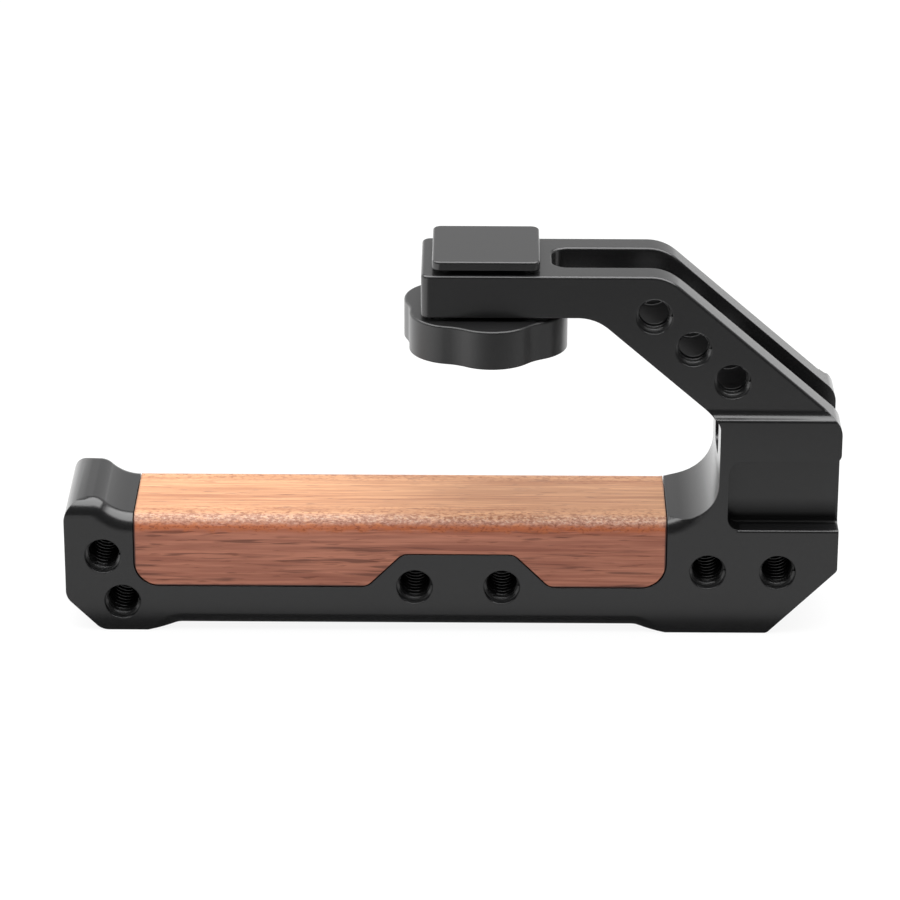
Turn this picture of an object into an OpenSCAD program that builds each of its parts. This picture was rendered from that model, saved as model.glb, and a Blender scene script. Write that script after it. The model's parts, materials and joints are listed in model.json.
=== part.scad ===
// Camera top handle with a wooden grip and a clamping hot shoe foot.
// It stands as it is shown: the palm side of the grip bar rests on the table and the foot points up.
// X runs along the bar from its free end, Y is the depth about the middle plane, Z is the height.

/* [Frame] */
// Length of the frame along the bar
frame_l = 136.2; // [132:0.1:142]
// Depth of the bar and of the riser
frame_w = 22.5; // [21.5:0.1:25]
// Height of the bar's grip surface
bar_h = 21.6; // [20.5:0.1:23]
// Height of the lip at the bar's free end
lip_h = 24.55; // [24:0.05:25.6]
// Thickness of the riser, from the finger gap to the outer end
riser_t = 21.2; // [19:0.1:23]
// Radius of the finger gap's lower corner
gap_corner_r = 7; // [5:0.1:7.2]
// Radius of the lip's foot
lip_foot_r = 7.2; // [6:0.1:8]
// Radius of the lip's crest, towards the grip
lip_crest_r = 3.4; // [3.3:0.1:4]
// Radius of the lip's outer corner
lip_corner_r = 3.8; // [2.5:0.1:4]
// Rounding of the bar's upper edges
bar_edge_r = 3.2; // [1.5:0.1:3.2]
// Size of the bevel under the free end
nose_bevel = 6.2; // [5:0.1:7.5]
// Size of the bevel under the riser
heel_bevel = 12.1; // [9:0.1:13]

/* [Arm] */
// Height of the arm's upper face
arm_z = 66.66; // [63:0.01:72]
// Thickness of the arm
arm_t = 7.56; // [6.8:0.01:8.5]
// Depth of the arm, less than the riser's
arm_w = 19.5; // [18:0.1:20.5]
// Slope of the strut between the arm and the riser
strut_angle = 41.05; // [39:0.05:43]
// Drop from the arm's upper face to the strut's lower end, at the riser's outer end
strut_drop = 26.98; // [26:0.02:28]
// Height of the ledge above the strut's lower end
ledge_rise = 1.66; // [1.2:0.02:2]
// Distance along the strut from its upper end to its middle hole
strut_hole_run = 14.47; // [13.5:0.01:15]
// Radius of the arm's bends
bend_r = 8; // [5:0.1:9]
// Width of the slot along the arm and the strut
slot_w = 9.4; // [7:0.1:10]
// Distance from the stud's axis to the slot's closed end
slot_from_stud = 11.5; // [10.5:0.1:16]
// Depth of the slot in the riser, below the strut's lower end
slot_depth = 8.88; // [7:0.02:10]
// Radius of the slot's corners
slot_corner_r = 2.8; // [1:0.1:3.3]

/* [Side pockets] */
// Height of the pocket's floor edge
pocket_z = 19.85; // [18.5:0.05:21]
// Height of the pocket
pocket_h = 13.05; // [10:0.05:14]
// Length of the pocket, open at the riser's outer end
pocket_l = 19.6; // [14:0.1:19.7]
// Depth of the pocket
pocket_d = 3.9; // [3:0.1:5]
// Radius of the pocket's corners
pocket_r = 2.4; // [1:0.1:3]
// Radius of the hollow between the pocket's back and its floor
pocket_fillet = 1; // [0.8:0.1:3.8]

/* [Palm side] */
// Depth of the relief under the bar
palm_relief = 0.75; // [0.4:0.05:1.2]
// Distance from the free end to the relief
palm_start = 14.4; // [12:0.1:18]
// Distance from the relief to the riser's outer end
palm_margin = 30.1; // [28:0.1:36]
// Radius of the relief's ends
palm_end_r = 24.4; // [14:0.1:26]
// Rounding of the relief's edges
palm_edge_r = 2.6; // [1:0.1:3]

/* [Threaded side holes] */
// Major diameter of the side threads
thread_d = 6.35; // [4:0.05:6.6]
// Countersink of the side threads
thread_sink = 0.1; // [0.05:0.05:0.5]
// Spacing of the holes under the grip
tongue_pitch = 15.4; // [13:0.1:17]
// Spacing of the holes in the riser's heel
heel_pitch = 12.3; // [10:0.1:13]
// Distance from the heel's outer hole to the riser's outer end
heel_inset = 10.5; // [9:0.1:12]
// Spacing of the holes along the strut
strut_pitch = 9.17; // [8:0.05:9.6]

/* [Wooden grip] */
// Distance from the free end to the grip
grip_x = 12.1; // [11.7:0.1:13]
// Distance from the grip to the riser's outer end
grip_margin = 30.05; // [29.5:0.05:34]
// Height of the grip's lower edge
grip_z = 8.5; // [7.6:0.05:9.5]
// Thickness of the grip's cheeks beside the bar's core
cheek_t = 4; // [3:0.1:5]
// Radius of the grip's lower corners
grip_corner_r = 4.6; // [2:0.1:5.5]
// Height of the metal tongue between the cheeks' halves
tongue_z = 14.8; // [13.6:0.05:15.2]
// Width of the tongue at its top
tongue_w = 19.6; // [17:0.1:24]
// Distance from the tongue's middle to the riser's outer end
tongue_from_end = 66.8; // [63:0.1:70]
// Gap of the joint line between wood and metal
grip_gap = 0.2; // [0.1:0.05:0.3]
// Shank diameter of the grip screws
screw_d = 4; // [3:0.1:4.5]
// Length of the brass inserts in the wood
insert_l = 5.2; // [4:0.1:5.4]
// Distance from the end screws to the grip's ends
screw_inset = 11.9; // [11:0.1:14]

/* [Hot shoe foot] */
// Side of the square foot plate
foot_side = 18.6; // [18.4:0.05:18.7]
// Thickness of the foot plate
foot_t = 1.5; // [1.4:0.05:2]
// Gap between the foot plate and the arm at rest
foot_gap = 0.95; // [0.9:0.05:1.2]
// Width of the neck under the foot plate
neck_w = 12.3; // [11.8:0.05:12.4]
// Length of the neck along the bar
neck_l = 14; // [11:0.1:15]
// Depth of the neck under the foot plate
neck_depth = 3.1; // [2.8:0.1:3.2]
// Distance from the stud's axis to the arm's end
arm_end = 11.2; // [10.5:0.1:13]
// Distance from the stud's axis to the riser's outer end
stud_from_end = 62.2; // [60:0.1:65]
// Diameter of the stud
stud_d = 5; // [4:0.1:6]
// Travel of the foot towards the arm
foot_down = 0.85; // [0.5:0.05:0.85]
// Travel of the foot away from the arm
foot_up = 1.1; // [0.5:0.05:1.3]
// Wire diameter of the foot's spring
spring_wire = 0.5; // [0.4:0.05:0.55]
// Turns of the foot's spring
spring_turns = 3; // [2:0.5:3]

/* [Knob] */
// Diameter over the lobes
knob_d = 29.5; // [26:0.1:30]
// Height of the knob
knob_h = 6.9; // [6.5:0.1:8]
// Number of lobes
knob_lobes = 6; // [5:1:7]
// Radius of a lobe
lobe_r = 8; // [7.2:0.1:8.2]
// Depth of the scallops between the lobes
scallop = 1.25; // [1.1:0.05:1.4]
// Gap between the knob and the arm, which the washer fills
knob_gap = 0.8; // [0.7:0.05:1.2]
// Diameter of the knob's steel bush
bush_d = 9; // [8:0.1:10]
// Width of the washer's ring between the knob and the arm
washer_rim = 4.35; // [3.5:0.05:5]
// Thickness of the retaining washer
cap_t = 1; // [0.8:0.05:1.2]
// Diameter of the retaining screw
cap_screw_d = 2.5; // [2:0.1:2.8]
// Length of the retaining screw
cap_screw_l = 5.5; // [4:0.1:5.5]

/* [Hidden] */
$fn = 96;

past = 2;              // how far a cut runs past the surface it opens
slide_gap = 0.1;       // play of the neck in the arm, on each side
turn_gap = 0.05;       // play of a shaft in its hole
face_gap = 0.1;        // play between the knob and its washer
arc_play = 0.003;      // how far an arc that rounds a corner crosses the corner's sides
riser_x = frame_l - riser_t;
arm_under = arm_z - arm_t;
strut_z = arm_z - strut_drop;
throat_z = strut_z + 0.2;              // where the strut's lower face meets the riser
ledge_z = strut_z + ledge_rise;
slot_floor_z = strut_z - slot_depth;
stud_x = frame_l - stud_from_end;
strut_top_x = frame_l - (arm_z - strut_z) / tan(strut_angle);
strut_under_x = riser_x - (arm_under - throat_z) / tan(strut_angle);
arm_x = stud_x - arm_end;
lip_slope = acos(1 - (lip_h - bar_h) / (lip_foot_r + lip_crest_r));
lip_foot_x = grip_x + 0.1;             // where the lip's foot runs into the grip surface
lip_crest_x = lip_foot_x - (lip_foot_r + lip_crest_r) * sin(lip_slope);
small_corner_r = 1.2;
nose_corner_r = 3;
core_w = frame_w - 2 * cheek_t;
grip_l = frame_l - grip_margin - grip_x;
tongue_x = frame_l - tongue_from_end;
palm_z = palm_relief;

neck_z = arm_z + foot_gap - neck_depth;    // lower end of the neck at rest
foot_top = arm_z + foot_gap + foot_t;
pocket_floor = neck_z - foot_down - 0.35;
spring_r = stud_d / 2 + 0.85;
spring_seat = arm_under + 1.5;
knob_top = arm_under - knob_gap;
knob_z = knob_top - knob_h;
cap_z = knob_z + foot_down + 0.15;     // lower face of the retaining washer at rest
recess_top = cap_z + cap_t + foot_up + 0.3;
cap_r = stud_d;
recess_r = cap_r + 0.8;
cap_screw_r = cap_screw_d / 2;
cap_head_r = cap_screw_d + 0.1;

head_r = screw_d;                      // a countersunk head is twice as wide as its shank
head_z = palm_z + 0.2;
insert_r = screw_d / 2 + 0.9;
insert_z = tongue_z + grip_gap;
screw_xs = [grip_x + screw_inset, tongue_x, grip_x + grip_l - screw_inset];

strut_way = [cos(strut_angle), -sin(strut_angle)];
strut_mid = [strut_top_x + strut_under_x, arm_z + arm_under] / 2 + strut_hole_run * strut_way;
heel_x = frame_l - heel_inset;
bar_holes = [[6.7, 14.25], [10, 5.45],
             [tongue_x - tongue_pitch / 2, grip_z + 0.1], [tongue_x + tongue_pitch / 2, grip_z + 0.1],
             [heel_x - heel_pitch, heel_bevel - 0.35], [heel_x, heel_bevel - 0.35]];
strut_holes = [for (i = [-1:1]) strut_mid + i * strut_pitch * strut_way];

// Corner i of an outline given anticlockwise: directions to its neighbours, and its arc.
function unit(v) = v / norm(v);
function to_last(p, i) = unit(p[(i + len(p) - 1) % len(p)] - p[i]);
function to_next(p, i) = unit(p[(i + 1) % len(p)] - p[i]);
function half_angle(p, i) = acos(to_last(p, i) * to_next(p, i)) / 2;
function arc_start(p, r, i) = p[i] + to_last(p, i) * r / tan(half_angle(p, i));
function arc_end(p, r, i) = p[i] + to_next(p, i) * r / tan(half_angle(p, i));
function arc_centre(p, r, i) = p[i] + unit(to_last(p, i) + to_next(p, i)) * r / sin(half_angle(p, i));
function points_out(p, i) = cross(-to_last(p, i), to_next(p, i)) > 0;

// The space between a corner and the arc that rounds it. It reaches a little past the corner's two
// sides, and the arc crosses them a hair before it would touch, so that no sliver is left.
module corner_space(p, r, i) {
    last = arc_start(p, r, i);
    next = arc_end(p, r, i);
    middle = (last + next) / 2;
    anticlockwise = points_out(p, i) ? [last, p[i], next] : [next, p[i], last];
    difference() {
        polygon([for (q = anticlockwise) middle + 1.03 * (q - middle)]);
        translate(arc_centre(p, r, i)) circle(r + arc_play);
    }
}

// An outline whose corners have the radii r; a radius of 0 leaves a corner sharp.
module rounded(p, r) {
    difference() {
        union() {
            polygon(p);
            for (i = [0:len(p) - 1]) if (r[i] > 0 && !points_out(p, i)) corner_space(p, r[i], i);
        }
        for (i = [0:len(p) - 1]) if (r[i] > 0 && points_out(p, i)) corner_space(p, r[i], i);
    }
}

module rounded_rect(size, r) {
    a = size / 2;
    rounded([[-a[0], -a[1]], [a[0], -a[1]], [a[0], a[1]], [-a[0], a[1]]], [r, r, r, r]);
}

// Stands an outline drawn in X and Z upright, centred in depth.
module across(w) {
    rotate([90, 0, 0]) linear_extrude(w, center = true) children();
}

// Runs an outline drawn in Y and Z along X, from x0 to x1.
module along(x0, x1) {
    translate([x0, 0, 0]) rotate([90, 0, 90]) linear_extrude(x1 - x0) children();
}

// Both sides of the middle plane.
module both_sides() {
    children();
    mirror([0, 1, 0]) children();
}

module ring(z0, z1, outer, inner) {
    translate([0, 0, z0]) difference() {
        cylinder(h = z1 - z0, r = outer);
        translate([0, 0, -past]) cylinder(h = z1 - z0 + 2 * past, r = inner);
    }
}

// The quarter round that a corner cutter leaves: reach runs from the cutter's axis into the metal.
module cutter_profile(reach, r) {
    difference() {
        square([reach + r, r + past]);
        translate([reach + r, 0]) circle(r);
    }
}

// Rounds one long edge of the bar between x0 and x1; the cutter's round ends are kept.
module edge_run(x0, x1, z, reach, r) {
    translate([0, -frame_w / 2 + r, z + reach]) {
        translate([x0, 0, 0]) rotate([90, 0, 0]) rotate_extrude() cutter_profile(reach, r);
        translate([x1, 0, 0]) rotate([90, 0, 0]) rotate_extrude() cutter_profile(reach, r);
        along(x0, x1) mirror([1, 0]) rotate(-90) cutter_profile(reach, r);
    }
}

// Keeps the part of a cutter's turn about c that lies between the directions a and b, and turns it
// back by more when it should run on a little past them.
module sector(c, a, b, run_on = 0) {
    reach = 3 * lip_foot_r;
    turn = run_on * [a[1], -a[0]];
    intersection() {
        translate([0, -frame_w / 2, 0]) across(frame_w) polygon(
            [c - turn, c - turn + reach * a, c + reach * (a + b), c + turn + reach * b, c + turn]);
        children();
    }
}

// Rounds the lip's edge: along its crest, round its shoulder and down its foot.
module lip_edge() {
    r = bar_edge_r;
    run_on = 0.3;
    crest = [lip_crest_x, lip_h - lip_crest_r];
    foot = [lip_foot_x, bar_h + lip_foot_r];
    out = [sin(lip_slope), cos(lip_slope)];
    translate([0, -frame_w / 2 + r, lip_h + r])
        along(-past, lip_crest_x + run_on) mirror([1, 0]) rotate(-90) cutter_profile(r, r);
    sector(crest, [0, 1], out)
        translate([crest[0], -frame_w / 2 + r, crest[1]]) rotate([90, 0, 0]) rotate_extrude()
            translate([lip_crest_r - r, 0]) difference() {
                square([r + past, r + past]);
                translate([1.5 * arc_play, arc_play]) circle(r);
            }
    sector(foot, [0, -1], -out, run_on)
        translate([foot[0], -frame_w / 2 + r, foot[1]]) rotate([90, 0, 0]) rotate_extrude()
            cutter_profile(lip_foot_r + arc_play / 2, r);
}

// Rounds the bar's upper edges, on metal and wood alike, from the lip to the riser.
module bar_edges() {
    both_sides() {
        lip_edge();
        edge_run(lip_foot_x, riser_x - gap_corner_r - bar_edge_r + 0.2, bar_h, gap_corner_r, bar_edge_r);
    }
}

// The relief under the bar, where the palm lies, with its rounded edges.
module palm_cut() {
    run_out = sqrt(2 * palm_end_r * palm_relief - palm_relief * palm_relief);
    edge_reach = 3.4;
    x0 = palm_start + run_out;
    x1 = frame_l - palm_margin - run_out;
    across(frame_w + 2 * past) {
        for (x = [x0, x1]) translate([x, palm_z - palm_end_r]) circle(palm_end_r);
        translate([x0, palm_z - palm_end_r]) square([x1 - x0, palm_end_r]);
    }
    both_sides() mirror([0, 0, 1]) edge_run(x0, x1, -palm_z, edge_reach, palm_edge_r);
}

module frame_outline() {
    foot_corner = lip_foot_x - lip_foot_r * tan(lip_slope / 2);
    crest_corner = lip_crest_x + lip_crest_r * tan(lip_slope / 2);
    rounded(
        [[nose_bevel, 0], [frame_l - heel_bevel, 0], [frame_l, heel_bevel], [frame_l, strut_z],
         [strut_top_x, arm_z], [arm_x, arm_z], [arm_x, arm_under], [strut_under_x, arm_under],
         [riser_x, throat_z], [riser_x, bar_h], [foot_corner, bar_h], [crest_corner, lip_h],
         [0, lip_h], [0, nose_bevel]],
        [nose_corner_r, small_corner_r, small_corner_r, 4,
         bend_r, 0, 0, bend_r,
         2.5, gap_corner_r, lip_foot_r, lip_crest_r,
         lip_corner_r, nose_corner_r]);
}

// Outline of the grip's seat, seen from the side; gap draws it in for the wood itself.
module grip_outline(gap) {
    x0 = grip_x + gap;
    x1 = grip_x + grip_l - gap;
    z0 = grip_z + gap;
    z1 = tongue_z + gap;
    tongue_top = tongue_w / 2 + gap * tan(22.5);
    tongue_foot = tongue_top + z1 - z0;
    top = bar_h + 2 * gap_corner_r;
    r = 2.5;
    rounded(
        [[x0, z0], [tongue_x - tongue_foot, z0], [tongue_x - tongue_top, z1],
         [tongue_x + tongue_top, z1], [tongue_x + tongue_foot, z0], [x1, z0], [x1, top], [x0, top]],
        [grip_corner_r, r, r, r, r, grip_corner_r, 0, 0]);
}

module grip_space(gap) {
    difference() {
        across(frame_w + 2 * past) grip_outline(gap);
        translate([0, -core_w / 2 - gap, -past])
            cube([frame_l, core_w + 2 * gap, tongue_z + gap + past]);
    }
}

// The arm and the strut are slimmer than the riser; a hollow and a rounding lead from one to the other.
module ledges() {
    hollow_r = 1.75;
    edge_r = 0.72;
    fall = 0.7;
    side = frame_w / 2;
    both_sides() along(-past, frame_l + past) rounded(
        [[arm_w / 2, ledge_z], [side, ledge_z - fall], [side, ledge_z - fall - past],
         [side + past, ledge_z - fall - past], [side + past, arm_z + past], [arm_w / 2, arm_z + past]],
        [hollow_r, edge_r, 0, 0, 0, 0]);
}

// The long slot is open at the riser's outer end and has round corners at its two closed ends.
module slot_cut() {
    x0 = stud_x + slot_from_stud;
    x_end = frame_l + past;
    top = arm_z + past;
    translate([(x0 + riser_x + past) / 2, 0, ledge_z])
        linear_extrude(top - ledge_z) rounded_rect([riser_x + past - x0, slot_w], slot_corner_r);
    along(strut_under_x, x_end) translate([0, (slot_floor_z + top + past) / 2])
        rounded_rect([slot_w, top + past - slot_floor_z], slot_corner_r);
}

module side_pocket() {
    x0 = frame_l - pocket_l;
    z1 = pocket_z + pocket_h;
    out = frame_l + 2 * past;
    lip_r = 0.8;
    intersection() {
        translate([0, -frame_w / 2, 0]) across(2 * pocket_d) rounded(
            [[x0, pocket_z], [frame_l, pocket_z], [frame_l, pocket_z - past], [out, pocket_z - past],
             [out, z1 + past], [frame_l, z1 + past], [frame_l, z1], [x0, z1]],
            [pocket_r, lip_r, 0, 0, 0, 0, 1.4, pocket_r]);
        along(x0 - past, out + past) rounded(
            [[-frame_w, pocket_z - past], [-frame_w / 2, pocket_z - past], [-frame_w / 2, pocket_z],
             [-frame_w / 2 + pocket_d, pocket_z], [-frame_w / 2 + pocket_d, z1 + 2 * past],
             [-frame_w, z1 + 2 * past]],
            [0, 0, 0, pocket_fillet, 0, 0]);
    }
}

// A hole for a camera thread, from one side to the other.
module thread_hole(p, w) {
    translate([p[0], 0, p[1]]) rotate([90, 0, 0]) {
        cylinder(h = w + 2 * past, d = thread_d, center = true);
        for (s = [-1, 1]) translate([0, 0, s * w / 2]) cylinder(
            h = 2 * thread_sink, r1 = thread_d / 2 + (s < 0 ? 2 : 0) * thread_sink,
            r2 = thread_d / 2 + (s > 0 ? 2 : 0) * thread_sink, center = true);
    }
}

// Seat of the foot's neck, of its spring and of the stud in the arm.
module foot_seat() {
    translate([stud_x, 0, 0]) {
        translate([0, 0, pocket_floor]) linear_extrude(arm_z)
            rounded_rect([neck_l + 2 * slide_gap, neck_w + 2 * slide_gap], 1);
        translate([0, 0, spring_seat]) cylinder(h = arm_t, r = spring_r + spring_wire);
        translate([0, 0, arm_under - past]) cylinder(h = arm_t + past, r = stud_d / 2 + turn_gap);
    }
}

module arm_end_corners() {
    r = 1.5;
    both_sides() translate([arm_x, -arm_w / 2, arm_under - past]) difference() {
        translate([-past, -past, 0]) cube([past + r, past + r, arm_t + 2 * past]);
        translate([r, r, -1]) cylinder(h = arm_t + 2 * past + 2, r = r);
    }
}

module grip_screw_holes() {
    for (x = screw_xs) translate([x, 0, 0]) {
        translate([0, 0, -past]) cylinder(h = bar_h + 2 * past, r = screw_d / 2 + 0.2);
        translate([0, 0, head_z - past]) cylinder(h = past, r = head_r + 0.1);
        translate([0, 0, head_z]) cylinder(h = head_r / 2 + 0.1, r1 = head_r + 0.1, r2 = screw_d / 2);
    }
}

module handle_frame() {
    color("#2b2b2c") difference() {
        across(frame_w) frame_outline();
        ledges();
        slot_cut();
        both_sides() side_pocket();
        grip_space(0);
        bar_edges();
        palm_cut();
        for (p = bar_holes) thread_hole(p, frame_w);
        for (p = strut_holes) thread_hole(p, arm_w);
        foot_seat();
        arm_end_corners();
        grip_screw_holes();
    }
}

module wood_grip() {
    color("#c98a5a") difference() {
        intersection() {
            grip_space(grip_gap);
            translate([0, -frame_w / 2, 0]) cube([frame_l, frame_w, bar_h]);
        }
        bar_edges();
        for (x = screw_xs) translate([x, 0, 0])
            cylinder(h = insert_z + insert_l, r = insert_r);
    }
}

module grip_inserts() {
    color("goldenrod") for (x = screw_xs) translate([x, 0, 0])
        ring(insert_z, insert_z + insert_l, insert_r - 0.02, screw_d / 2 + turn_gap);
}

module grip_screws() {
    socket_d = 0.62 * screw_d;
    color("#1c1c1c") for (x = screw_xs) translate([x, 0, head_z]) difference() {
        union() {
            cylinder(h = head_r / 2, r1 = head_r, r2 = screw_d / 2);
            cylinder(h = insert_z + insert_l - 0.6 - head_z, r = screw_d / 2);
        }
        translate([0, 0, -past]) cylinder(h = past + screw_d / 3, d = socket_d * 2 / sqrt(3), $fn = 6);
    }
}

module shoe_foot() {
    color("#2b2b2c") translate([stud_x, 0, 0]) difference() {
        union() {
            translate([0, 0, arm_z + foot_gap]) linear_extrude(foot_t)
                rounded_rect([foot_side, foot_side], 1.5);
            translate([0, 0, neck_z]) linear_extrude(arm_z + foot_gap - neck_z)
                rounded_rect([neck_l, neck_w], 1);
        }
        cylinder(h = foot_top - 0.8, r = stud_d / 2);
    }
}

module foot_stud() {
    color("silver") translate([stud_x, 0, 0]) difference() {
        translate([0, 0, cap_z + cap_t]) cylinder(h = foot_top - 0.8 - cap_z - cap_t, r = stud_d / 2 - 0.02);
        translate([0, 0, cap_z]) cylinder(h = cap_screw_l + 0.5, r = cap_screw_r + 0.02);
    }
}

// One turn of the spring's wire after another, as one tube of six-sided rings.
module foot_spring() {
    sides = 6;
    steps = 16;
    wire = spring_wire / 2;
    bottom = spring_seat + wire + 0.05;
    rise = neck_z - spring_seat - 2 * wire - 0.1;
    rings = spring_turns * steps;
    pitch = rise / spring_turns;
    echo(str("least gap between the spring's turns, mm: ", pitch - spring_wire));
    pts = [for (k = [0:rings], j = [0:sides - 1])
           let (turn = 360 * k / steps, a = 360 * j / sides, out = spring_r + wire * cos(a))
           [out * cos(turn), out * sin(turn), bottom + rise * k / rings + wire * sin(a)]];
    faces = concat(
        [for (k = [0:rings - 1], j = [0:sides - 1])
         let (a = k * sides + j, b = k * sides + (j + 1) % sides)
         each [[a, a + sides, b + sides], [a, b + sides, b]]],
        [for (j = [1:sides - 2]) [0, j, j + 1]],
        [for (j = [1:sides - 2]) let (e = rings * sides) [e, e + j + 1, e + j]]);
    color("silver") translate([stud_x, 0, 0]) polyhedron(pts, faces);
}

module thrust_washer() {
    color("#1a1a1a") translate([stud_x, 0, 0])
        ring(knob_top + face_gap, arm_under, stud_d / 2 + 0.15 + washer_rim, stud_d / 2 + 0.15);
}

// Lobes and scallops are arcs that run into each other without a corner.
module lobed_outline() {
    step = 180 / knob_lobes;
    lobe_c = knob_d / 2 - lobe_r;
    low = knob_d / 2 - scallop;
    scallop_r = (lobe_r ^ 2 - low ^ 2 - lobe_c ^ 2 + 2 * low * lobe_c * cos(step))
                / (2 * (low - lobe_c * cos(step) - lobe_r));
    lobe_at = [for (i = [0:knob_lobes - 1]) let (a = 2 * i * step) lobe_c * [cos(a), sin(a)]];
    scallop_at = [for (i = [0:knob_lobes - 1]) let (a = (2 * i + 1) * step)
                  (low + scallop_r) * [cos(a), sin(a)]];
    share = lobe_r / (lobe_r + scallop_r);
    meets = [for (i = [0:knob_lobes - 1]) let (n = (i + 1) % knob_lobes)
             each [lobe_at[i] + share * (scallop_at[i] - lobe_at[i]),
                   lobe_at[n] + share * (scallop_at[i] - lobe_at[n])]];
    difference() {
        union() {
            polygon(meets);
            for (c = lobe_at) translate(c) circle(lobe_r);
        }
        for (c = scallop_at) translate(c) circle(scallop_r);
    }
}

module knob_body() {
    first_lobe = -81.5;
    color("#333335") translate([stud_x, 0, 0]) difference() {
        translate([0, 0, knob_z]) linear_extrude(knob_h) rotate(first_lobe) lobed_outline();
        translate([0, 0, knob_z - past]) cylinder(h = recess_top - knob_z + past, r = recess_r);
        translate([0, 0, recess_top - 1]) cylinder(h = knob_h, r = bush_d / 2);
    }
}

module knob_bush() {
    color("silver") translate([stud_x, 0, 0])
        ring(recess_top, knob_top, bush_d / 2 - 0.02, stud_d / 2 + turn_gap);
}

module retaining_washer() {
    color("silver") translate([stud_x, 0, 0]) difference() {
        translate([0, 0, cap_z]) cylinder(h = cap_t, r = cap_r);
        translate([0, 0, cap_z - past]) cylinder(h = cap_t + 2 * past, r = cap_screw_r + 0.1);
        translate([0, 0, cap_z]) cylinder(h = cap_t - 0.1, r1 = cap_head_r, r2 = cap_head_r - cap_t + 0.1);
    }
}

module retaining_screw() {
    color("#1c1c1c") translate([stud_x, 0, cap_z]) difference() {
        union() {
            cylinder(h = cap_t - 0.1, r1 = cap_head_r - 0.05, r2 = cap_head_r - cap_t + 0.05);
            cylinder(h = cap_screw_l, r = cap_screw_r);
        }
        translate([0, 0, -past]) cylinder(h = past + 0.8, d = 1.7, $fn = 6);
    }
}

// The frame's own coordinates start at its free end; the model is centred over its base.
module placed() {
    translate([-frame_l / 2, 0, 0]) children();
}

placed() handle_frame();
placed() wood_grip();
placed() grip_inserts();
placed() grip_screws();
placed() shoe_foot();
placed() foot_stud();
placed() foot_spring();
placed() thrust_washer();
placed() knob_body();
placed() knob_bush();
placed() retaining_washer();
placed() retaining_screw();
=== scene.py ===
import json
import math

import bpy
from mathutils import Matrix, Vector


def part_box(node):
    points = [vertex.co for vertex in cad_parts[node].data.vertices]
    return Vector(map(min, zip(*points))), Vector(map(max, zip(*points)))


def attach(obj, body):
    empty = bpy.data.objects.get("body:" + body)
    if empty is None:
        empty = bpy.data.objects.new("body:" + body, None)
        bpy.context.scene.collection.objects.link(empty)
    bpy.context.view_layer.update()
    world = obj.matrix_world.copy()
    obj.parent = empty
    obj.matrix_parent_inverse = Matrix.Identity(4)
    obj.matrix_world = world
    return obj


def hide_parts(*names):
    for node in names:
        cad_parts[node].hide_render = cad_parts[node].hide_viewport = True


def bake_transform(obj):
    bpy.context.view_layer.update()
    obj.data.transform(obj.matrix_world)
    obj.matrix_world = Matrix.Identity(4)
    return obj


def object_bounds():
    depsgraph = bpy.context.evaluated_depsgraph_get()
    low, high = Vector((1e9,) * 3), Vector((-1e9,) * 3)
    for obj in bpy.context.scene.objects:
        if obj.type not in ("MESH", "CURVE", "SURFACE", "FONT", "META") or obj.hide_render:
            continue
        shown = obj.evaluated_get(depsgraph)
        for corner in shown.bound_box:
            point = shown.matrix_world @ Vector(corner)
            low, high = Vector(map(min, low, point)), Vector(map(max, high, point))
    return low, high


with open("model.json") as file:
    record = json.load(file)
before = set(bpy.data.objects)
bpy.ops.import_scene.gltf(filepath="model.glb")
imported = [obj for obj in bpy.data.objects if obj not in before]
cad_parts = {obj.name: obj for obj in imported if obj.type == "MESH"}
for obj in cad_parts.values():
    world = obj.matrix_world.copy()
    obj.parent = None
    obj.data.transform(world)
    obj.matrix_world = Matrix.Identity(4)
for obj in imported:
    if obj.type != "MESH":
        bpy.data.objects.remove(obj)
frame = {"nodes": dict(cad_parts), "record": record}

cadBox = [list(corner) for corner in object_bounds()]
nodes = frame["nodes"]
mounts = frame["record"]["mounts"]
scene = bpy.context.scene
print("frame loaded:", sorted(nodes))


def deselectAll():
    if bpy.context.object and bpy.context.object.mode != "OBJECT":
        bpy.ops.object.mode_set(mode="OBJECT")
    bpy.ops.object.select_all(action="DESELECT")


def pick(obj):
    deselectAll()
    obj.select_set(True)
    bpy.context.view_layer.objects.active = obj


def settle(obj):
    # place and turn go into the mesh, so the object itself sits at the origin
    pick(obj)
    bpy.ops.object.transform_apply(location=True, rotation=True, scale=True)


def copyOf(obj, name):
    twin = obj.copy()
    twin.data = obj.data.copy()
    twin.parent = None
    twin.name = twin.data.name = name
    scene.collection.objects.link(twin)
    return twin


# short calls for the nodes of a material or of the room
class NodeSet:
    def __init__(self, tree):
        self.tree = tree

    def plug(self, socket, value):
        if isinstance(value, bpy.types.NodeSocket):
            self.tree.links.new(value, socket)
        elif socket.type == "RGBA" and isinstance(value, tuple) and len(value) == 3:
            socket.default_value = (*value, 1)
        else:
            socket.default_value = value

    def node(self, kind, links=None, **settings):
        made = self.tree.nodes.new("ShaderNode" + kind)
        for key, value in settings.items():
            setattr(made, key, value)
        for key, value in (links or {}).items():
            self.plug(made.inputs[key], value)
        return made

    def reckon(self, operation, first, second=0.0, clamp=False):
        return self.node("Math", {0: first, 1: second}, operation=operation, use_clamp=clamp).outputs[0]

    def fade(self, value, start, end, low=0.0, high=1.0):
        return self.node("MapRange", {"Value": value, "From Min": start, "From Max": end,
                                      "To Min": low, "To Max": high}).outputs["Result"]

    def between(self, share, first, second):
        return self.node("Mix", {0: share, 2: first, 3: second}).outputs[0]


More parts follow.
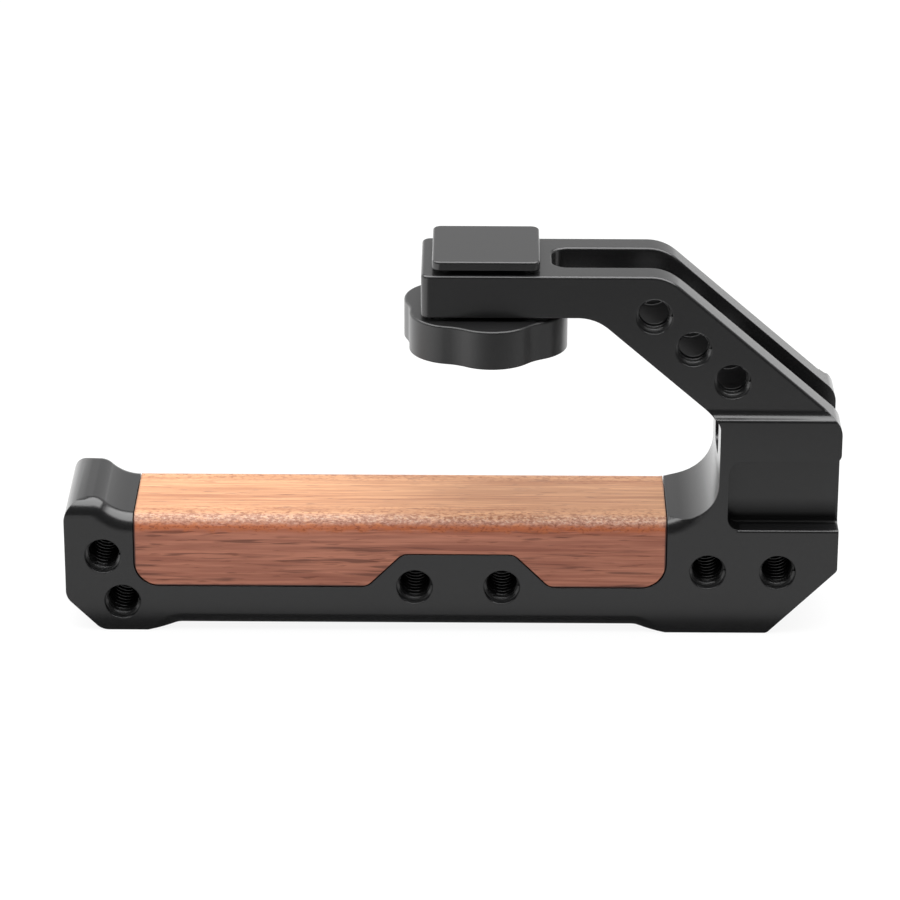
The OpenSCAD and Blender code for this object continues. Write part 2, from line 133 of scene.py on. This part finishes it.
# a material, with what its patterns are made of
class Finish(NodeSet):
    def __init__(self, name):
        self.material = bpy.data.materials.new(name)
        self.material.use_nodes = True
        super().__init__(self.material.node_tree)
        self.surface = self.tree.nodes["Principled BSDF"]
        self.place = self.node("TexCoord").outputs["Object"]

    def axes(self):
        at = self.node("SeparateXYZ", {0: self.place}).outputs
        return at["X"], at["Y"], at["Z"]

    def stretched(self, scale, turn=(0, 0, 0)):
        return self.node("Mapping", {"Vector": self.place, "Scale": scale, "Rotation": turn}).outputs["Vector"]

    def noise(self, vector, scale=1.0, detail=3.0, rough=0.5, warp=0.0):
        return self.node("TexNoise", {"Vector": vector, "Scale": scale, "Detail": detail,
                                      "Roughness": rough, "Distortion": warp}).outputs["Fac"]

    def ramp(self, value, stops):
        made = self.node("ValToRGB", {"Fac": value})
        elements = made.color_ramp.elements
        while len(elements) < len(stops):
            elements.new(0.5)
        for element, (at, colour) in zip(elements, stops):
            element.position = at
            element.color = (*colour, 1) if isinstance(colour, tuple) else (colour, colour, colour, 1)
        return made.outputs["Color"]

    def span(self, value, low, high):
        return self.fade(value, 0.0, 1.0, low, high)

    def blend(self, share, first, second, mode="MIX"):
        made = self.node("Mix", data_type="RGBA", blend_type=mode)
        for place, value in ((0, share), (6, first), (7, second)):
            self.plug(made.inputs[place], value)
        return made.outputs[2]

    def bump(self, height, depth, normal, strength=1.0):
        return self.node("Bump", {"Height": height, "Distance": depth, "Strength": strength,
                                  "Normal": normal}).outputs["Normal"]

    def softEdge(self, radius):
        return self.node("Bevel", {"Radius": radius}, samples=6).outputs["Normal"]

    def finish(self, **sockets):
        for key, value in sockets.items():
            self.plug(self.surface.inputs[key.replace("_", " ")], value)
        return self.material


anodised = {
    "colour": (0.0100, 0.0100, 0.0103),
    "darkest": (0.0085, 0.0085, 0.0088),
    "paintedShade": (0.004, 0.004, 0.004),    # painted shade: the colour put in the pocket corners and deep in the strut's bores
    "clouds": 60,             # faint changes of tone per metre
    "roughness": (0.22, 0.28),
    "edge": 0.00026,          # radius of the small rounding along the machined edges
    "blast": 7000,            # grains of the blasted skin per metre
    "blastDepth": 0.0000016,
    "ior": 1.6,               # the hard oxide layer is glossier than paint
}
anodisedThreads = anodised | {
    "ior": 1.55,
    "edge": 0.0004,
    "shadedWithin": (0.0062, 0.0088),    # from the middle plane: deeper in than this their reflection is turned down, painted shade inside the hole
    "shine": (0.06, 0.75),
}
anodisedFoot = anodised | {"edge": 0.0002}
anodisedKnob = anodised | {"edge": 0.0002, "roughness": (0.32, 0.38)}

# painted shade: the corner where a side pocket's back meets its floor is painted deep black
# with no reflection, for the shade there; each pair is where that starts and where it is full
pocketShadeMask = {
    "depth": 0.90,
    "left": (0.0478, 0.0486),
    "right": (0.0679, 0.0676),
    "aside": (0.01118, 0.0109),
    "down": (0.0245, 0.0208),
    "floor": (0.019851, 0.019856),
}
# the walls of the strut's three holes, deeper in than the first turn of thread, get the same painted shade
boreShadeMask = {
    "depth": 0.96,
    "ends": ("strut_thread_upper", "strut_thread_lower"),
    "reach": 0.0034,          # around the line through the holes
    "soft": 0.0001,
    "inner": (0.00476, 0.00490),
    "outer": (0.0092, 0.0086),
}


# the mask of the painted shade in the pocket corners
def pocketCornerShade(s, x, z, aside):
    paintedShade = pocketShadeMask["depth"]
    for value, key in ((x, "left"), (x, "right"), (aside, "aside"), (z, "down"), (z, "floor")):
        paintedShade = s.reckon("MULTIPLY", s.fade(value, *pocketShadeMask[key]), paintedShade)
    return paintedShade


# the mask of the painted shade on the bore walls
def boreWallShade(s, aside):
    first, last = (Vector(mount["pos_m"]) for end in boreShadeMask["ends"]
                   for mount in mounts if mount["name"] == end)
    along = (last - first).normalized()
    across = Vector((along.z, 0, -along.x))
    middle = tuple((first + last) / 2)
    offset = s.node("VectorMath", {0: s.place, 1: middle}, operation="SUBTRACT").outputs[0]
    reach = boreShadeMask["reach"]
    paintedShade = boreShadeMask["depth"]
    for line, limit in ((along, (last - first).length / 2 + reach), (across, reach)):
        away = s.node("VectorMath", {0: offset, 1: tuple(line)}, operation="DOT_PRODUCT").outputs["Value"]
        away = s.reckon("ABSOLUTE", away)
        paintedShade = s.reckon("MULTIPLY", s.fade(away, limit + boreShadeMask["soft"], limit), paintedShade)
    for key in ("inner", "outer"):
        paintedShade = s.reckon("MULTIPLY", s.fade(aside, *boreShadeMask[key]), paintedShade)
    return paintedShade


def makeAnodised(name, look, shadeSpots=False):
    s = Finish(name)
    grains = s.noise(s.place, look["blast"], 2, 0.6)
    clouds = s.noise(s.place, look["clouds"], 3, 0.55)
    colour = s.blend(clouds, look["darkest"], look["colour"])
    roughness = s.span(clouds, *look["roughness"])
    normal = s.bump(grains, look["blastDepth"], s.softEdge(look["edge"]))
    x, y, z = s.axes()
    aside = s.reckon("ABSOLUTE", y)
    # painted shade: less reflection on the crests deep inside the hole
    if "shadedWithin" in look:
        s.finish(Specular_IOR_Level=s.fade(aside, *look["shadedWithin"], *look["shine"]))
    # painted shade: darker colour and no reflection in the pocket corners and deep in the strut's bores
    if shadeSpots:
        paintedShade = s.reckon("MAXIMUM", pocketCornerShade(s, x, z, aside), boreWallShade(s, aside))
        colour = s.blend(paintedShade, colour, look["paintedShade"])
        s.finish(Specular_IOR_Level=s.span(paintedShade, 0.5, 0.0))
    return s.finish(Base_Color=colour, Roughness=roughness, Normal=normal, IOR=look["ior"])


wood = {
    "light": (0.405, 0.149, 0.087),
    "middle": (0.350, 0.120, 0.068),
    "dark": (0.248, 0.071, 0.038),
    "pore": (0.092, 0.021, 0.009),
    "paleFibre": 1.28,        # a pale fibre against the light wood
    "roughness": (0.36, 0.50),
    "edge": 0.00015,
    "relief": 0.00005,
    "reliefStrength": 0.8,
    # the top is painted lighter and more of a tan above this height: partly the face grain's tone, partly
    # painted light from above
    "litTopTint": (1.30, 1.87, 1.68),
    "litTopFrom": (0.0200, 0.0212),
    # grain per metre, along the bar and across it, and how far it leans in degrees
    "figure": (9, 130, 130),
    "figureLean": 1.0,
    "streak": (17, 520, 520),
    "streakLean": 0.6,
    "fibre": (60, 2100, 2100),
    "pores": (220, 2600, 2600),
    "wave": (38, 640, 640),
    "waveLean": 1.2,
    # what of each pattern shows, as stops of a ramp
    "streakStops": [(0.36, 0.85), (0.50, 0.0)],
    "darkFibreStops": [(0.40, 0.5), (0.56, 0.0)],
    "paleFibreStops": [(0.52, 0.0), (0.72, 0.5)],
    "poreStops": [(0.30, 1.0), (0.38, 0.0)],
    "poreShare": 0.5,
    "waveStops": [(0.35, 1.0), (0.43, 0.0)],
    "waveShare": 0.66,        # wavy dark lines are on the front and back only
    "waveFrom": (0.0200, 0.0190),
}
# painted highlight: along the grip's roundings, where the softbox's highlight lies, a band of light and dark
# glints is painted; under it an amber band, and flecks on the top beside the rounding
fibresAndGlints = {
    "aside": (0.0084, 0.0093),
    "ragged": (520, 1300, 1300),
    "raggedBy": 0.0026,
    "highlightFrom": (0.0213, 0.0220),
    "amberFrom": (0.0204, 0.0210),
    "amber": (0.385, 0.103, 0.031),       # a deeper amber band just under the painted highlight band
    "amberShare": 0.70,
    "ground": (0.25, 0.082, 0.054),
    "groundShare": 0.75,
    "glints": (1620, 2700, 2700),
    "glintLight": (0.38, 0.185, 0.140),
    "glintDark": (0.155, 0.034, 0.013),
    # light and dark flecks scattered on the top, beside the rounding
    "flecks": (1080, 2160, 2160),
    "fleckAside": (0.0046, 0.0082),
    "fleckFrom": (0.0196, 0.0208),
    "fleckLight": (0.40, 0.150, 0.090),
    "fleckDark": (0.19, 0.050, 0.024),
}
# oil and dust in the joint with the metal, darkest at the wood's very border
woodJoint = {
    "colour": (0.035, 0.008, 0.006),
    "width": (0.00012, 0.0003),
    "share": 0.92,
    "topShare": 0.35,         # the joint is finer on the top
}


def addFibresAndGlints(s, colour, z, aside):
    look = fibresAndGlints
    outward = s.fade(aside, *look["aside"])
    patchy = s.reckon("MULTIPLY", s.noise(s.stretched(look["ragged"]), 1, 3, 0.6), look["raggedBy"])
    ragged = s.reckon("ADD", z, patchy)
    upward = s.fade(ragged, *look["highlightFrom"])
    highlightBand = s.reckon("MULTIPLY", outward, upward)
    under = s.reckon("MULTIPLY", s.fade(ragged, *look["amberFrom"]), outward)
    under = s.reckon("SUBTRACT", under, upward, clamp=True)
    colour = s.blend(s.reckon("MULTIPLY", under, look["amberShare"]), colour, look["amber"])
    colour = s.blend(s.reckon("MULTIPLY", highlightBand, look["groundShare"]), colour, look["ground"])
    glints = s.noise(s.stretched(look["glints"]), 1, 2, 0.6)
    flecks = s.noise(s.stretched(look["flecks"]), 1, 2, 0.6)
    nearEdge = s.reckon("MULTIPLY", s.fade(aside, *look["fleckAside"]), s.fade(z, *look["fleckFrom"]))
    # painted glints in the highlight band, dark specks in it and in the amber band, and flecks beside the
    # rounding
    for pattern, stops, tone, where in (
            (glints, [(0.52, 0.0), (0.66, 0.75)], "glintLight", highlightBand),
            (glints, [(0.37, 0.95), (0.46, 0.0)], "glintDark", highlightBand),
            (glints, [(0.37, 0.65), (0.46, 0.0)], "glintDark", under),
            (flecks, [(0.54, 0.0), (0.64, 0.7)], "fleckLight", nearEdge),
            (flecks, [(0.38, 0.9), (0.46, 0.0)], "fleckDark", nearEdge)):
        share = s.reckon("MULTIPLY", s.ramp(pattern, stops), where)
        colour = s.blend(share, colour, look[tone])
    return colour


def addJoint(s, colour, x, z, onTop):
    low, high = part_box("wood_grip")
    inside = s.reckon("SUBTRACT", x, low[0])
    for side in (s.reckon("SUBTRACT", high[0], x), s.reckon("SUBTRACT", z, low[2])):
        inside = s.reckon("MINIMUM", inside, side)
    joint = s.fade(inside, *woodJoint["width"], woodJoint["share"], 0.0)
    joint = s.reckon("MULTIPLY", joint, s.span(onTop, 1.0, woodJoint["topShare"]))
    return s.blend(joint, colour, woodJoint["colour"])


def makeWood(name, look):
    s = Finish(name)
    x, y, z = s.axes()
    aside = s.reckon("ABSOLUTE", y)
    figureTurn, streakTurn = ((0, 0, math.radians(look[key])) for key in ("figureLean", "streakLean"))
    figure = s.noise(s.stretched(look["figure"], figureTurn), 1, 2, 0.5, 0.3)
    streaks = s.noise(s.stretched(look["streak"], streakTurn), 1, 4, 0.62, 0.25)
    fibres = s.noise(s.stretched(look["fibre"]), 1, 3, 0.6)
    pores = s.noise(s.stretched(look["pores"]), 1, 2, 0.5)
    waves = s.noise(s.stretched(look["wave"], (0, math.radians(look["waveLean"]), 0)), 1, 2, 0.55, 1.6)
    pale = tuple(part * look["paleFibre"] for part in look["light"])
    deep = s.ramp(pores, look["poreStops"])
    colour = s.ramp(figure, [(0.34, look["middle"]), (0.62, look["light"])])
    colour = s.blend(s.ramp(streaks, look["streakStops"]), colour, look["dark"])
    colour = s.blend(s.ramp(fibres, look["darkFibreStops"]), colour, look["dark"])
    colour = s.blend(s.ramp(fibres, look["paleFibreStops"]), colour, pale)
    colour = s.blend(s.reckon("MULTIPLY", deep, look["poreShare"]), colour, look["pore"])
    onFront = s.fade(z, *look["waveFrom"], 0.0, look["waveShare"])
    colour = s.blend(s.reckon("MULTIPLY", s.ramp(waves, look["waveStops"]), onFront), colour, look["pore"])
    colour = addFibresAndGlints(s, colour, z, aside)
    # painted light: the top lighter than the sides, above the given height
    onTop = s.fade(z, *look["litTopFrom"])
    litTopTone = s.blend(onTop, (1.0, 1.0, 1.0), look["litTopTint"])
    colour = addJoint(s, s.blend(1.0, colour, litTopTone, "MULTIPLY"), x, z, onTop)
    relief = s.reckon("SUBTRACT", fibres, deep)
    normal = s.bump(relief, look["relief"], s.softEdge(look["edge"]), look["reliefStrength"])
    return s.finish(Base_Color=colour, Roughness=s.span(fibres, *look["roughness"]), Normal=normal)


turned = {
    "marks": 4000,            # lathe marks per metre
    "markDepth": 0.000003,
    "markShade": 0.85,
    "edge": 0.0001,
}
smallParts = {
    "brass": {"name": "turnedBrass", "colour": (0.72, 0.50, 0.22), "roughness": (0.24, 0.38)},
    "steel": {"name": "turnedSteel", "colour": (0.52, 0.52, 0.53), "roughness": (0.22, 0.34)},
    "spring_steel": {"name": "springWire", "colour": (0.48, 0.48, 0.49), "roughness": (0.25, 0.35)},
    "black_steel": {"name": "blackOxide", "colour": (0.02, 0.02, 0.021), "roughness": (0.35, 0.5),
                    "metallic": 0.6},
    "washer_plastic": {"name": "blackAcetal", "colour": (0.018, 0.018, 0.018), "roughness": (0.4, 0.5),
                       "metallic": 0.0},
}


def makeTurned(look):
    s = Finish(look["name"])
    marks = s.noise(s.place, turned["marks"], 2, 0.5)
    normal = s.bump(marks, turned["markDepth"], s.softEdge(turned["edge"]))
    shaded = tuple(part * turned["markShade"] for part in look["colour"])
    return s.finish(Base_Color=s.blend(marks, shaded, look["colour"]), Normal=normal,
                    Roughness=s.span(marks, *look["roughness"]), Metallic=look.get("metallic", 1.0))


finishes = {
    "threads": makeAnodised("blackThreads", anodisedThreads),
    "anodised_metal": makeAnodised("blackAnodised", anodised, shadeSpots=True),
    "anodised_foot": makeAnodised("blackFoot", anodisedFoot),
    "anodised_knob": makeAnodised("blackKnob", anodisedKnob),
    "wood": makeWood("reddishWood", wood),
}
finishes |= {slot: makeTurned(look) for slot, look in smallParts.items()}
slotOf = {part["node"]: part["material_slot"] for part in frame["record"]["subparts"]}
for name, obj in nodes.items():
    for slot in obj.material_slots:
        slot.material = finishes[slotOf[name]]
print("finishes made:", len(finishes))


barDepth = 0.0225             # length of a hole that goes right through the bar


def sideHoles():
    # every round hole's place and its walls' length come from the record's mounts
    found = []
    for mount in mounts:
        x, _, z = mount["pos_m"]
        if mount["kind"] == "threaded_hole":
            found.append((mount["name"], x, z, mount["dims"]["length_mm"] / 1000))
        elif mount["kind"] == "bolt_pattern":
            offset = mount["dims"]["spacing_x_mm"] / 2000
            found.append((mount["name"] + "_left", x - offset, z, barDepth))
            found.append((mount["name"] + "_right", x + offset, z, barDepth))
    return found


holes = sideHoles()

# the machined pieces with the small roundings that their sharp CAD edges have in the metal
roundings = {
    "frameBody": {"node": "handle_frame", "body": "handle", "width": 0.0005, "rim": 0.0004},
    "footPlate": {"node": "shoe_foot", "body": "foot", "width": 0.0004},
    "knobWheel": {"node": "knob_body", "body": "knob", "width": 0.00045},
}
edgeLimits = {
    "weld": 0.000002,         # points closer than this are one
    "flat": 0.6,              # degrees between two faces that are taken as one
    "sharp": 55,              # and from which on their edge counts as sharp
    "smooth": 30,             # and up to which it is shaded smooth
    "upperPart": 0.0415,      # the frame's edges are rounded above this height
    "facesUp": 0.6,           # least upward part of a top face's normal
    "standsUp": 0.2,          # and the most of a standing face's
    "pocketLip": (0.0197, 0.0200),
    "pocketOut": 0.0112,      # the pockets' lips lie further than this from the middle plane
    "rimOut": 0.007,          # and so do the outer rims of the holes
    "rimRadius": 0.003175,
    "rimSlack": 0.00008,
    "rimFaces": (0.95, 0.2),  # least that a rim's flat face looks forwards, and most that the wall does
    "footTop": 0.0001,
    "knobTop": 0.0012,
    "knobOut": 0.0105,        # least distance of the knob's outer rim from its axis
}
footLow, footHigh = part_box("shoe_foot")
knobLow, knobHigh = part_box("knob_body")


def frameEdge(a, b, normals):
    tops = sorted(n.z for n in normals)
    if tops[1] < edgeLimits["facesUp"] or abs(tops[0]) > edgeLimits["standsUp"]:
        return False
    bottom, top = edgeLimits["pocketLip"]
    inLip = bottom < min(a.z, b.z) and max(a.z, b.z) < top
    underFoot = all(footLow.x < v.x < footHigh.x and footLow.y < v.y < footHigh.y for v in (a, b))
    if inLip and min(abs(a.y), abs(b.y)) > edgeLimits["pocketOut"]:
        return True
    return min(a.z, b.z) > edgeLimits["upperPart"] and not underFoot


def holeRim(a, b, normals):
    # the front and back edges of the threaded holes
    def onRim(v):
        return any(abs(math.hypot(v.x - x, v.z - z) - edgeLimits["rimRadius"]) < edgeLimits["rimSlack"]
                   for _, x, z, _ in holes)
    wall, face = sorted(abs(n.y) for n in normals)
    leastForFace, mostForWall = edgeLimits["rimFaces"]
    if face <= leastForFace or wall >= mostForWall or min(abs(a.y), abs(b.y)) <= edgeLimits["rimOut"]:
        return False
    return onRim(a) and onRim(b)


def footEdge(a, b, normals):
    return min(a.z, b.z) > footHigh.z - edgeLimits["footTop"]


def knobEdge(a, b, normals):
    x, y = ((knobLow[i] + knobHigh[i]) / 2 for i in (0, 1))
    out = min(math.hypot(v.x - x, v.y - y) for v in (a, b))
    return out > edgeLimits["knobOut"] and min(a.z, b.z) > knobHigh.z - edgeLimits["knobTop"]


def roundOff(twin, wanted, width):
    mesh = twin.data
    normalsAt = {}
    for face in mesh.polygons:
        for key in face.edge_keys:
            normalsAt.setdefault(key, []).append(face.normal)
    for parts in (mesh.vertices, mesh.edges, mesh.polygons):
        for part in parts:
            part.select = False
    for edge in mesh.edges:
        normals = normalsAt.get(tuple(sorted(edge.vertices)), [])
        if len(normals) == 2 and normals[0].angle(normals[1]) > math.radians(edgeLimits["sharp"]):
            edge.select = wanted(*(mesh.vertices[i].co for i in edge.vertices), normals)
    bpy.ops.object.mode_set(mode="EDIT")
    bpy.ops.mesh.select_mode(type="EDGE")
    bpy.ops.mesh.bevel(offset=width, segments=4, profile=0.5, clamp_overlap=False)
    bpy.ops.object.mode_set(mode="OBJECT")


def roundedCopy(name, wanted):
    rounding = roundings[name]
    twin = copyOf(nodes[rounding["node"]], name)
    pick(twin)
    bpy.ops.mesh.customdata_custom_splitnormals_clear()
    bpy.ops.object.mode_set(mode="EDIT")
    bpy.ops.mesh.select_all(action="SELECT")
    bpy.ops.mesh.remove_doubles(threshold=edgeLimits["weld"])
    bpy.ops.mesh.select_all(action="SELECT")
    bpy.ops.mesh.dissolve_limited(angle_limit=math.radians(edgeLimits["flat"]))
    bpy.ops.mesh.select_all(action="DESELECT")
    bpy.ops.mesh.select_mode(type="EDGE")
    bpy.ops.object.mode_set(mode="OBJECT")
    roundOff(twin, wanted, rounding["width"])
    if "rim" in rounding:
        roundOff(twin, holeRim, rounding["rim"])
    bpy.ops.object.shade_smooth_by_angle(angle=math.radians(edgeLimits["smooth"]))
    even = twin.modifiers.new("even", "WEIGHTED_NORMAL")
    even.keep_sharp = True
    even.weight = 100
    bpy.ops.object.modifier_apply(modifier="even")
    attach(twin, rounding["body"])
    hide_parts(rounding["node"])


roundedCopy("frameBody", frameEdge)
roundedCopy("footPlate", footEdge)
roundedCopy("knobWheel", knobEdge)
print("machined edges rounded")

# the spring's lower end sits in the arm and its upper end under the foot; this copy, baked in place, is
# attached to neither body
spring = copyOf(nodes["foot_spring"], "springCoil")
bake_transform(spring)
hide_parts("foot_spring")
print("spring set between arm and foot")

thread = {
    "pitch": 0.00127,
    "wall": 0.00322,          # a hair past the bore's wall, so that the crest is rooted in it
    "crest": 0.00262,
    "rootWidth": 0.00112,
    "crestWidth": 0.00024,
    "steps": 40,
    "inset": 0.00055,         # from the face to the first crest
    "railLength": 0.00505,    # of the thread in one rail beside the slot
    "railMiddle": 0.007225,   # from the middle plane to the middle of a rail
    "through": 0.02,          # a hole longer than this goes through the bar in one
}


def makeThread(name, length):
    # a crest's outline beside the axis, then wound up as a helix
    deselectAll()
    bpy.ops.mesh.primitive_plane_add(size=1, rotation=(math.pi / 2, 0, 0))
    crest = bpy.context.object
    crest.name = crest.data.name = name
    bpy.ops.object.transform_apply(rotation=True)
    depth = thread["wall"] - thread["crest"]
    bpy.ops.object.mode_set(mode="EDIT")
    bpy.ops.mesh.select_all(action="SELECT")
    bpy.ops.transform.resize(value=(depth, 1, thread["rootWidth"]))
    bpy.ops.transform.translate(value=(thread["crest"] + depth / 2, 0, 0))
    bpy.ops.object.mode_set(mode="OBJECT")
    for v in crest.data.vertices:
        v.select = v.co.x < thread["crest"] + depth / 2
    for e in crest.data.edges:
        e.select = all(crest.data.vertices[i].select for i in e.vertices)
    for p in crest.data.polygons:
        p.select = False
    bpy.ops.object.mode_set(mode="EDIT")
    bpy.ops.transform.resize(value=(1, 1, thread["crestWidth"] / thread["rootWidth"]))
    bpy.ops.mesh.select_all(action="SELECT")
    bpy.ops.mesh.delete(type="ONLY_FACE")
    bpy.ops.object.mode_set(mode="OBJECT")
    turns = int((length - 2 * thread["inset"]) / thread["pitch"])
    winding = crest.modifiers.new("winding", "SCREW")
    winding.steps = winding.render_steps = thread["steps"]
    winding.iterations = turns
    winding.screw_offset = thread["pitch"]
    winding.use_normal_calculate = True
    bpy.ops.object.modifier_apply(modifier="winding")
    bpy.ops.object.mode_set(mode="EDIT")
    bpy.ops.mesh.select_all(action="SELECT")
    bpy.ops.transform.translate(value=(0, 0, -turns * thread["pitch"] / 2))
    bpy.ops.mesh.select_all(action="DESELECT")
    bpy.ops.mesh.select_non_manifold()
    bpy.ops.mesh.fill_holes(sides=0)
    bpy.ops.mesh.select_all(action="SELECT")
    bpy.ops.mesh.normals_make_consistent(inside=False)
    bpy.ops.object.mode_set(mode="OBJECT")
    bpy.ops.object.shade_smooth_by_angle(angle=math.radians(40))
    crest.data.materials.clear()
    crest.data.materials.append(finishes["threads"])
    return crest


barThread = makeThread("barThread", barDepth)
railThread = makeThread("railThread", thread["railLength"])
for name, x, z, length in holes:
    if length > thread["through"]:      # the strut's holes are shorter, and cut in two by its slot
        copies = [(barThread, 0)]
    else:
        copies = [(railThread, -thread["railMiddle"]), (railThread, thread["railMiddle"])]
    for i, (model, y) in enumerate(copies):
        crest = copyOf(model, name + "_crest" + str(i))
        crest.rotation_euler = (math.pi / 2, 0, 0)
        crest.location = (x, y, z)
        settle(crest)
        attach(crest, "handle")
for model in (barThread, railThread):
    bpy.data.objects.remove(model, do_unlink=True)
print("thread crests wound")


view = {
    "aim": (-0.000275, 0.0, 0.030165),     # the point straight ahead of the lens
    "distance": 0.744122,
    "tilt": 23.049,
    "turn": 0.408,
    "roll": 0.138,
    "lens": 167.995,
    "sensor": 36,
}
cameraTurn = (Matrix.Rotation(math.radians(view["turn"]), 4, "Z")
              @ Matrix.Rotation(math.radians(90 - view["tilt"]), 4, "X")
              @ Matrix.Rotation(math.radians(view["roll"]), 4, "Z"))
stand = Vector(view["aim"]) + cameraTurn.to_3x3() @ Vector((0, 0, view["distance"]))
deselectAll()
bpy.ops.object.camera_add()
camera = bpy.context.object
camera.name = "photoCamera"
camera.data.lens = view["lens"]
camera.data.sensor_width = view["sensor"]
camera.matrix_world = Matrix.Translation(stand) @ cameraTurn
scene.camera = camera

paper = {
    "size": 6,
    "drop": 0.0001,           # a hair below the object's underside
    "colour": 0.86,
    "paler": 0.02,            # how much its faint clouds are lighter
    "glow": 0.90,             # share of plain white that the camera sees in the paper
    "bounce": 0.60,           # what the paper gives back to the object's sides
    "mirrorFront": (0.69, 0.29),      # painted reflection: how bright the paper glows in the metal, near and far on the camera's side
    "mirrorRound": 1.6,               # and to the left and behind, painted brighter
    "frontSpan": (0.075, 0.165),
    "behindFrom": (-0.02, 0.02),
    "leftFrom": (-0.12, -0.08),
    "mirrorShade": 0.10,      # in the narrow shadow around the foot of the object
    "shadeSpan": (0.0015, 0.0055),
}


def makePaper(name, look):
    s = Finish(name)
    rays = s.node("LightPath").outputs
    x, y, _ = s.axes()
    inFront = s.fade(s.reckon("MULTIPLY", y, -1.0), *look["frontSpan"], *look["mirrorFront"])
    roundIt = s.reckon("MAXIMUM", s.fade(y, *look["behindFrom"]), s.fade(x, *look["leftFrom"], 1.0, 0.0))
    past = []                 # how far a point of the paper is from under the object
    for value, low, high in ((x, cadBox[0][0], cadBox[1][0]), (y, cadBox[0][1], cadBox[1][1])):
        past.append(s.reckon("SUBTRACT", s.reckon("ABSOLUTE", value), (high - low) / 2))
    shade = s.fade(s.reckon("MAXIMUM", *past), *look["shadeSpan"], look["mirrorShade"], 1.0)
    mirror = s.reckon("MULTIPLY", s.between(roundIt, inFront, look["mirrorRound"]), shade)
    clouds = s.noise(s.place, 40, 2, 0.5)
    plain = s.blend(clouds, (look["colour"],) * 3, (look["colour"] + look["paler"],) * 3)
    colour = s.blend(rays["Is Camera Ray"], (look["bounce"],) * 3, plain)
    s.finish(Base_Color=colour, Roughness=0.9, Specular_IOR_Level=0.1)
    glossy = s.reckon("MAXIMUM", rays["Is Glossy Ray"], rays["Is Transmission Ray"])
    seen = s.reckon("MAXIMUM", s.reckon("MULTIPLY", rays["Is Camera Ray"], look["glow"]), glossy)
    # in reflections the paper is a glow with the painted brightness above, not lit paper
    glow = s.node("Emission", {"Color": (1, 1, 1), "Strength": s.between(glossy, 1.0, mirror)}).outputs[0]
    mixed = s.node("MixShader", {0: seen, 1: s.surface.outputs[0], 2: glow}).outputs[0]
    s.tree.links.new(mixed, s.tree.nodes["Material Output"].inputs["Surface"])
    return s.material


deselectAll()
bpy.ops.mesh.primitive_circle_add(vertices=64, radius=paper["size"], fill_type="NGON")
floor = bpy.context.object
floor.name = "floor"
floor.location.z = -paper["drop"]
settle(floor)
floor.data.materials.append(makePaper("paleFloor", paper))

# the studio is white behind, with a softbox overhead, and dark on the camera's side
room = {
    "backdrop": 0.70,         # the backdrop in the metal, and what it gains low down and to the left
    "lowGain": 0.24,
    "lowUpTo": (0.0, 0.25),
    "leftGain": 0.46,
    "leftUpTo": (-0.40, -0.03),
    "gap": 0.12,              # between the backdrop's top and the softbox
    "gapFrom": (0.47, 0.53),
    "front": 0.05,            # the camera's side
    "frontUpTo": (-0.35, 0.10),
    "ambient": 0.30,
}
world = scene.world or bpy.data.worlds.new("studio")
scene.world = world
world.use_nodes = True
w = NodeSet(world.node_tree)
towards = w.node("SeparateXYZ", {0: w.node("TexCoord").outputs[0]}).outputs
low = w.fade(towards["Z"], *room["lowUpTo"], room["lowGain"], 0.0)
left = w.fade(towards["X"], *room["leftUpTo"], room["leftGain"], 0.0)
backdrop = w.reckon("ADD", w.reckon("ADD", low, left), room["backdrop"])
walls = w.between(w.fade(towards["Z"], *room["gapFrom"]), backdrop, room["gap"])
walls = w.between(w.fade(towards["Y"], *room["frontUpTo"]), room["front"], walls)
rays = w.node("LightPath").outputs
mirrored = w.reckon("MAXIMUM", rays["Is Glossy Ray"], rays["Is Transmission Ray"])
strength = w.reckon("MAXIMUM", w.between(mirrored, room["ambient"], walls), rays["Is Camera Ray"])
background = next(n for n in w.tree.nodes if n.type == "BACKGROUND")
w.plug(background.inputs["Color"], (1, 1, 1))
w.plug(background.inputs["Strength"], strength)

softbox = {"place": (0, 0.10, 0.64), "aim": (0, 0.10, 0), "width": 1.30, "depth": 0.84, "power": 16.4}
deselectAll()
bpy.ops.object.light_add(type="AREA", location=softbox["place"])
lamp = bpy.context.object
lamp.name = "overheadSoftbox"
lamp.data.shape = "RECTANGLE"
lamp.data.size = softbox["width"]
lamp.data.size_y = softbox["depth"]
lamp.data.energy = softbox["power"]
lamp.rotation_euler = (Vector(softbox["aim"]) - Vector(softbox["place"])).to_track_quat("-Z", "Y").to_euler()
scene.view_settings.view_transform = "Standard"
print("camera, floor and light placed")
